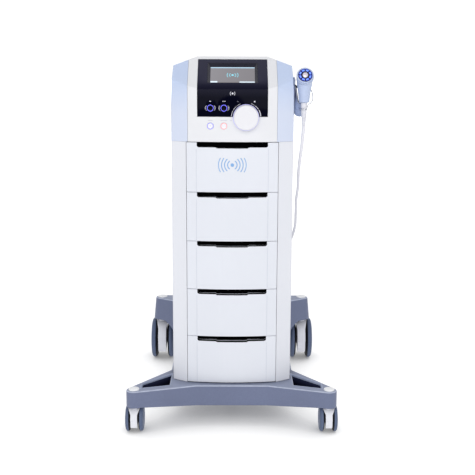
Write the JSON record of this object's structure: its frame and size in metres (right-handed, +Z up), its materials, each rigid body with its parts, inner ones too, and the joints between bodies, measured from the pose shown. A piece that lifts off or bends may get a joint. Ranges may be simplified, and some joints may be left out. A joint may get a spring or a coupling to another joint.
{
  "type": "ultrasound therapy device",
  "caption": "Mobile ultrasound therapy tower: sloped touch console with knob and applicator above a drawer column on a swivel-caster base.",
  "frame": {"origin": "on the floor, under the middle of the footprint", "axes": "+Z up from the floor; the console and drawer fronts face -Y; +X is to the right of a person facing the console"},
  "size_m": [0.5774, 0.741, 1.009],
  "materials": {
    "base_casting": "satin powder coat, fine texture",
    "shell_white": "fine satin",
    "cover_blue": "fine satin",
    "glass_black": "polished",
    "display": "polished, lit",
    "knob_white": "smooth satin",
    "button_black": "polished, ringed by a light",
    "button_white": "smooth, ringed by a light",
    "steel": "brushed",
    "zinc_plate": "zinc plated sheet",
    "chrome_wire": "bright",
    "caster_grey": "moulded nylon, matt",
    "wheel_grey": "matt",
    "dark_plastic": "fine texture",
    "circuit": "solder resist",
    "heatsink": "anodised",
    "applicator_blue": "smooth satin",
    "light_ring": "clear over a lit ring",
    "transducer_metal": "polished",
    "cable_white": "smooth",
    "handle_grey": "soft touch"
  },
  "bodies": {
    "tower": {"base_frame": "base_casting", "caster_stem_caps": "caster_grey", "caster_stems": "steel", "inner_chassis": "zinc_plate", "left_side_panel": "shell_white", "right_side_panel": "shell_white", "rear_cover": "shell_white", "drawer_rails": "zinc_plate", "console_left_cover": "cover_blue", "console_right_cover": "cover_blue", "console_rear_cover": "shell_white", "control_glass": "glass_black", "console_bezel": "shell_white", "display_panel": "display", "rotary_encoder": "dark_plastic", "control_board": "circuit", "ultrasound_generator": "zinc_plate", "power_supply": "heatsink", "fan_housing": "dark_plastic", "mains_inlet": "dark_plastic", "equipotential_pin": "steel", "push_handle": "handle_grey", "rear_cover_screws": "steel", "applicator_holder": "applicator_blue", "applicator_cable": "cable_white"},
    "front_left_caster": {"front_left_caster_housing": "caster_grey", "front_left_axle": "steel"},
    "front_left_wheelset": {"front_left_wheels": "wheel_grey"},
    "front_left_brake": {"front_left_brake_pedal": "dark_plastic"},
    "front_right_caster": {"front_right_caster_housing": "caster_grey", "front_right_axle": "steel"},
    "front_right_wheelset": {"front_right_wheels": "wheel_grey"},
    "front_right_brake": {"front_right_brake_pedal": "dark_plastic"},
    "rear_left_caster": {"rear_left_caster_housing": "caster_grey", "rear_left_axle": "steel"},
    "rear_left_wheelset": {"rear_left_wheels": "wheel_grey"},
    "rear_right_caster": {"rear_right_caster_housing": "caster_grey", "rear_right_axle": "steel"},
    "rear_right_wheelset": {"rear_right_wheels": "wheel_grey"},
    "drawer_1": {"drawer_1_front": "shell_white", "drawer_1_tray": "zinc_plate"},
    "drawer_2": {"drawer_2_front": "shell_white", "drawer_2_tray": "zinc_plate"},
    "drawer_3": {"drawer_3_front": "shell_white", "drawer_3_tray": "zinc_plate"},
    "drawer_4": {"drawer_4_front": "shell_white", "drawer_4_tray": "zinc_plate"},
    "drawer_5": {"drawer_5_front": "shell_white", "drawer_5_tray": "zinc_plate"},
    "knob": {"intensity_knob": "knob_white"},
    "channel_button_left": {"channel_button_left": "button_black"},
    "channel_button_right": {"channel_button_right": "button_black"},
    "start_button": {"start_button": "button_white"},
    "stop_button": {"stop_button": "button_white"},
    "power_rocker": {"power_switch": "dark_plastic"},
    "cooling_fan": {"fan_rotor": "dark_plastic"},
    "applicator": {"applicator_body": "applicator_blue", "applicator_light_ring": "light_ring", "transducer": "transducer_metal", "applicator_strain_relief": "cable_white"}
  },
  "joints": [
    {"name": "front_left_swivel", "type": "hinge", "parent": "tower", "child": "front_left_caster", "pos_m": [-0.2645, -0.348, 0.1], "axis": [0, 0, 1], "continuous": true},
    {"name": "front_left_roll", "type": "hinge", "parent": "front_left_caster", "child": "front_left_wheelset", "pos_m": [-0.2645, -0.334, 0.0365], "axis": [1, 0, 0], "continuous": true},
    {"name": "front_left_brake", "type": "hinge", "parent": "front_left_caster", "child": "front_left_brake", "pos_m": [-0.2645, -0.314, 0.0565], "axis": [-1, 0, 0], "range_deg": [0, 15]},
    {"name": "front_right_swivel", "type": "hinge", "parent": "tower", "child": "front_right_caster", "pos_m": [0.2645, -0.348, 0.1], "axis": [0, 0, 1], "continuous": true},
    {"name": "front_right_roll", "type": "hinge", "parent": "front_right_caster", "child": "front_right_wheelset", "pos_m": [0.2645, -0.334, 0.0365], "axis": [1, 0, 0], "continuous": true},
    {"name": "front_right_brake", "type": "hinge", "parent": "front_right_caster", "child": "front_right_brake", "pos_m": [0.2645, -0.314, 0.0565], "axis": [-1, 0, 0], "range_deg": [0, 15]},
    {"name": "rear_left_swivel", "type": "hinge", "parent": "tower", "child": "rear_left_caster", "pos_m": [-0.236, 0.287, 0.15], "axis": [0, 0, 1], "continuous": true},
    {"name": "rear_left_roll", "type": "hinge", "parent": "rear_left_caster", "child": "rear_left_wheelset", "pos_m": [-0.236, 0.303, 0.0675], "axis": [1, 0, 0], "continuous": true},
    {"name": "rear_right_swivel", "type": "hinge", "parent": "tower", "child": "rear_right_caster", "pos_m": [0.236, 0.287, 0.15], "axis": [0, 0, 1], "continuous": true},
    {"name": "rear_right_roll", "type": "hinge", "parent": "rear_right_caster", "child": "rear_right_wheelset", "pos_m": [0.236, 0.303, 0.0675], "axis": [1, 0, 0], "continuous": true},
    {"name": "drawer_1_slide", "type": "slide", "parent": "tower", "child": "drawer_1", "axis": [0, -1, 0], "range_m": [0, 0.27]},
    {"name": "drawer_2_slide", "type": "slide", "parent": "tower", "child": "drawer_2", "axis": [0, -1, 0], "range_m": [0, 0.27]},
    {"name": "drawer_3_slide", "type": "slide", "parent": "tower", "child": "drawer_3", "axis": [0, -1, 0], "range_m": [0, 0.27]},
    {"name": "drawer_4_slide", "type": "slide", "parent": "tower", "child": "drawer_4", "axis": [0, -1, 0], "range_m": [0, 0.27]},
    {"name": "drawer_5_slide", "type": "slide", "parent": "tower", "child": "drawer_5", "axis": [0, -1, 0], "range_m": [0, 0.27]},
    {"name": "knob_turn", "type": "hinge", "parent": "tower", "child": "knob", "pos_m": [0.0354, -0.31, 0.851], "axis": [0, -1, 0], "continuous": true},
    {"name": "channel_button_left_press", "type": "slide", "parent": "tower", "child": "channel_button_left", "axis": [0, 1, 0], "range_m": [0, 0.0012]},
    {"name": "channel_button_right_press", "type": "slide", "parent": "tower", "child": "channel_button_right", "axis": [0, 1, 0], "range_m": [0, 0.0012]},
    {"name": "start_button_press", "type": "slide", "parent": "tower", "child": "start_button", "axis": [0, 1, 0], "range_m": [0, 0.0012]},
    {"name": "stop_button_press", "type": "slide", "parent": "tower", "child": "stop_button", "axis": [0, 1, 0], "range_m": [0, 0.0012]},
    {"name": "power_switch_rock", "type": "hinge", "parent": "tower", "child": "power_rocker", "pos_m": [-0.019, 0.143, 0.247], "axis": [1, 0, 0], "range_deg": [-9, 9]},
    {"name": "fan_spin", "type": "hinge", "parent": "tower", "child": "cooling_fan", "pos_m": [-0.06, 0.131, 0.889], "axis": [0, 1, 0], "continuous": true},
    {"name": "applicator_lift", "type": "slide", "parent": "tower", "child": "applicator", "axis": [0, 0, 1], "range_m": [0, 0.09]}
  ]
}
